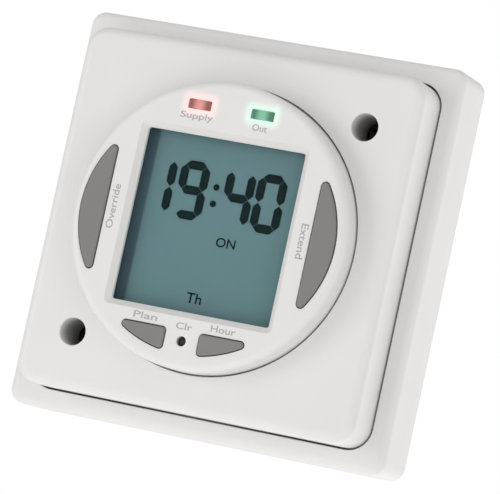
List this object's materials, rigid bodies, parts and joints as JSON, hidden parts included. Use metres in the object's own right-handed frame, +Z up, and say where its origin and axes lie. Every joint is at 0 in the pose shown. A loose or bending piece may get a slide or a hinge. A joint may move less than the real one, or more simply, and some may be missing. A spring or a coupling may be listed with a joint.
{
  "type": "wall-mounted digital time switch",
  "caption": "Square surface-mounted time switch with a round raised fascia, a display window, side and lower push keys, two lamps and internal relay and terminals.",
  "frame": {"origin": "centre of the back face, on the wall", "axes": "+Z up, +X to the right as seen from the front, +Y into the wall; the front faces -Y"},
  "size_m": [0.086, 0.0312, 0.086],
  "materials": {
    "white_box": "satin",
    "white_cover": "satin",
    "white_fascia": "satin",
    "grey_key": "matt",
    "clear_lens": "polished",
    "lcd_glass": "polished",
    "reflector_foil": "satin",
    "red_lamp": "polished",
    "green_lamp": "polished",
    "black_plastic": "matt",
    "white_plastic": "matt",
    "green_board": "satin",
    "strip_rubber": "matt",
    "steel": "polished",
    "nickel": "satin",
    "brass": "satin",
    "copper": "satin",
    "terminal_green": "satin",
    "relay_blue": "satin",
    "yellow_case": "satin",
    "can_sleeve": "gloss",
    "varistor_coat": "gloss",
    "resistor_coat": "gloss",
    "diode_body": "gloss"
  },
  "bodies": {
    "housing": {"back_box": "white_box", "front_cover": "white_cover", "dial_fascia": "white_fascia", "lcd_window": "clear_lens", "lcd_front_glass": "lcd_glass", "lcd_rear_glass": "lcd_glass", "lcd_reflector": "reflector_foil", "lcd_holder": "white_plastic", "contact_strips": "strip_rubber", "display_board": "green_board", "power_board": "green_board", "switch_bodies": "black_plastic", "red_lamp": "red_lamp", "green_lamp": "green_lamp", "controller": "black_plastic", "clock_crystal": "steel", "backup_cell": "steel", "cell_clip": "nickel", "header_pins": "black_plastic", "header_socket": "black_plastic", "terminal_block": "terminal_green", "terminal_bars": "brass", "relay_base": "relay_blue", "relay_cover": "relay_blue", "relay_coil": "copper", "relay_yoke": "nickel", "relay_fixed_contact": "brass", "dropper_capacitor": "yellow_case", "smoothing_capacitors": "can_sleeve", "varistor": "varistor_coat", "diodes": "diode_body", "resistors": "resistor_coat", "cover_screws": "steel", "board_screws": "steel", "display_screws": "steel", "cover_inserts": "brass"},
    "left_key": {"left_key": "grey_key", "left_plunger": "white_plastic"},
    "right_key": {"right_key": "grey_key", "right_plunger": "white_plastic"},
    "program_key": {"program_key": "grey_key", "program_plunger": "white_plastic"},
    "clock_key": {"clock_key": "grey_key", "clock_plunger": "white_plastic"},
    "reset_pin": {"reset_pin": "black_plastic", "reset_plunger": "white_plastic"},
    "armature": {"relay_armature": "nickel", "relay_blade": "brass"},
    "terminal_screw_1": {"terminal_screw_1": "steel"},
    "terminal_cage_1": {"terminal_cage_1": "nickel"},
    "terminal_screw_2": {"terminal_screw_2": "steel"},
    "terminal_cage_2": {"terminal_cage_2": "nickel"},
    "terminal_screw_3": {"terminal_screw_3": "steel"},
    "terminal_cage_3": {"terminal_cage_3": "nickel"},
    "terminal_screw_4": {"terminal_screw_4": "steel"},
    "terminal_cage_4": {"terminal_cage_4": "nickel"}
  },
  "joints": [
    {"name": "left_key_press", "type": "slide", "parent": "housing", "child": "left_key", "axis": [0, 1, 0], "range_m": [0, 0.0005], "stiffness_N_per_m": 3000},
    {"name": "right_key_press", "type": "slide", "parent": "housing", "child": "right_key", "axis": [0, 1, 0], "range_m": [0, 0.0005], "stiffness_N_per_m": 3000},
    {"name": "program_key_press", "type": "slide", "parent": "housing", "child": "program_key", "axis": [0, 1, 0], "range_m": [0, 0.0005], "stiffness_N_per_m": 3000},
    {"name": "clock_key_press", "type": "slide", "parent": "housing", "child": "clock_key", "axis": [0, 1, 0], "range_m": [0, 0.0005], "stiffness_N_per_m": 3000},
    {"name": "reset_pin_press", "type": "slide", "parent": "housing", "child": "reset_pin", "axis": [0, 1, 0], "range_m": [0, 0.0005], "stiffness_N_per_m": 3000},
    {"name": "armature_tilt", "type": "hinge", "parent": "housing", "child": "armature", "pos_m": [-0.00375, -0.00855, 0.006], "axis": [0, 0, -1], "range_deg": [0, 5], "stiffness_Nm_per_rad": 0.02},
    {"name": "terminal_screw_1_turn", "type": "hinge", "parent": "housing", "child": "terminal_screw_1", "pos_m": [-0.01125, -0.014, -0.01], "axis": [0, 1, 0], "range_deg": [0, 1152.1]},
    {"name": "terminal_cage_1_rise", "type": "slide", "parent": "housing", "child": "terminal_cage_1", "axis": [0, -1, 0], "range_m": [0, 0.0016]},
    {"name": "terminal_screw_2_turn", "type": "hinge", "parent": "housing", "child": "terminal_screw_2", "pos_m": [-0.00375, -0.014, -0.01], "axis": [0, 1, 0], "range_deg": [0, 1152.1]},
    {"name": "terminal_cage_2_rise", "type": "slide", "parent": "housing", "child": "terminal_cage_2", "axis": [0, -1, 0], "range_m": [0, 0.0016]},
    {"name": "terminal_screw_3_turn", "type": "hinge", "parent": "housing", "child": "terminal_screw_3", "pos_m": [0.00375, -0.014, -0.01], "axis": [0, 1, 0], "range_deg": [0, 1152.1]},
    {"name": "terminal_cage_3_rise", "type": "slide", "parent": "housing", "child": "terminal_cage_3", "axis": [0, -1, 0], "range_m": [0, 0.0016]},
    {"name": "terminal_screw_4_turn", "type": "hinge", "parent": "housing", "child": "terminal_screw_4", "pos_m": [0.01125, -0.014, -0.01], "axis": [0, 1, 0], "range_deg": [0, 1152.1]},
    {"name": "terminal_cage_4_rise", "type": "slide", "parent": "housing", "child": "terminal_cage_4", "axis": [0, -1, 0], "range_m": [0, 0.0016]}
  ],
  "couplings": [
    {"joint": "terminal_screw_1_turn", "follows": "terminal_cage_1_rise", "rad_per_m": 12566},
    {"joint": "terminal_screw_2_turn", "follows": "terminal_cage_2_rise", "rad_per_m": 12566},
    {"joint": "terminal_screw_3_turn", "follows": "terminal_cage_3_rise", "rad_per_m": 12566},
    {"joint": "terminal_screw_4_turn", "follows": "terminal_cage_4_rise", "rad_per_m": 12566}
  ]
}
